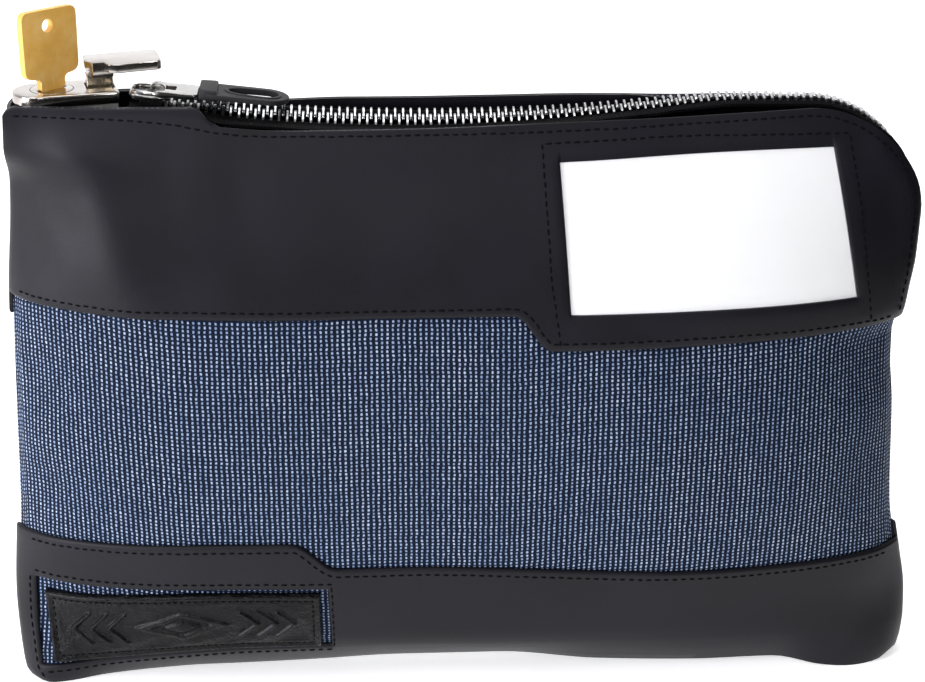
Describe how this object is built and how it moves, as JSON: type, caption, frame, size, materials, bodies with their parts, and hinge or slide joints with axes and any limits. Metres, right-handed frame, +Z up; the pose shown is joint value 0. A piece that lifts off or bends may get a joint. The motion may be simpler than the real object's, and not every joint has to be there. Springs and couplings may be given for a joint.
{
  "type": "locking cash deposit bag",
  "caption": "Stuffed zip bag for cash with vinyl overlays on woven fabric, an identity card window, and a pop-up key lock that holds the zip slider.",
  "frame": {"origin": "middle of the flat base, on the surface the bag stands on", "axes": "+Z up, front face towards -Y, +X to the right along the bag, away from the lock"},
  "size_m": [0.252, 0.0541, 0.1934],
  "materials": {
    "woven_fabric": "blue and black basket weave",
    "vinyl": "satin black, fine leather grain",
    "clear_film": "clear gloss film",
    "card": "matt white card",
    "label": "glossy black, embossed",
    "zip_tape": "black woven tape",
    "zip_metal": "bright",
    "nickel": "polished nickel plate",
    "case_metal": "die-cast, dull",
    "steel": "plain steel",
    "brass": "worn brass",
    "slider_metal": "bright plated",
    "grip_rubber": "matt dark grey"
  },
  "bodies": {
    "bag": {"front_fabric": "woven_fabric", "back_fabric": "woven_fabric", "front_upper_panel": "vinyl", "back_upper_panel": "vinyl", "front_lower_panel": "vinyl", "back_lower_panel": "vinyl", "end_gusset": "vinyl", "window_film": "clear_film", "id_card": "card", "label_patch": "label", "front_zip_tape": "zip_tape", "back_zip_tape": "zip_tape", "front_tooth_row": "zip_metal", "back_tooth_row": "zip_metal", "zip_bottom_stop": "zip_metal", "lock_housing": "nickel", "lock_case": "case_metal", "lock_base_plate": "case_metal", "case_screw_1": "steel", "case_screw_2": "steel", "latch_spring": "steel"},
    "plug": {"lock_plug": "nickel", "wafer_1": "brass", "wafer_2": "brass", "wafer_3": "brass", "lock_cam": "steel"},
    "key": {"key": "brass"},
    "latch": {"latch_stem": "brass", "latch_cap": "nickel"},
    "slider": {"slider_body": "slider_metal", "slider_bridge": "slider_metal"},
    "pull": {"pull_plate": "slider_metal", "pull_grip": "grip_rubber"}
  },
  "joints": [
    {"name": "plug_turn", "type": "hinge", "parent": "bag", "child": "plug", "pos_m": [-0.107, 0, 0.172], "axis": [0, 0, -1], "range_deg": [0, 90]},
    {"name": "key_withdraw", "type": "slide", "parent": "plug", "child": "key", "axis": [0, 0, 1], "range_m": [0, 0.022]},
    {"name": "latch_travel", "type": "slide", "parent": "bag", "child": "latch", "axis": [0, 0, 1], "range_m": [-0.0026, 0], "stiffness_N_per_m": 300, "springref_m": 0.003, "deforming": ["latch_spring"]},
    {"name": "slider_travel", "type": "hinge", "parent": "bag", "child": "slider", "pos_m": [-0.005, 0, 0.6906], "axis": [0, -1, 0], "range_deg": [0, 15]},
    {"name": "pull_swing", "type": "hinge", "parent": "slider", "child": "pull", "pos_m": [-0.07935, 0, 0.1716], "axis": [0, -1, 0], "range_deg": [-2, 60]}
  ]
}
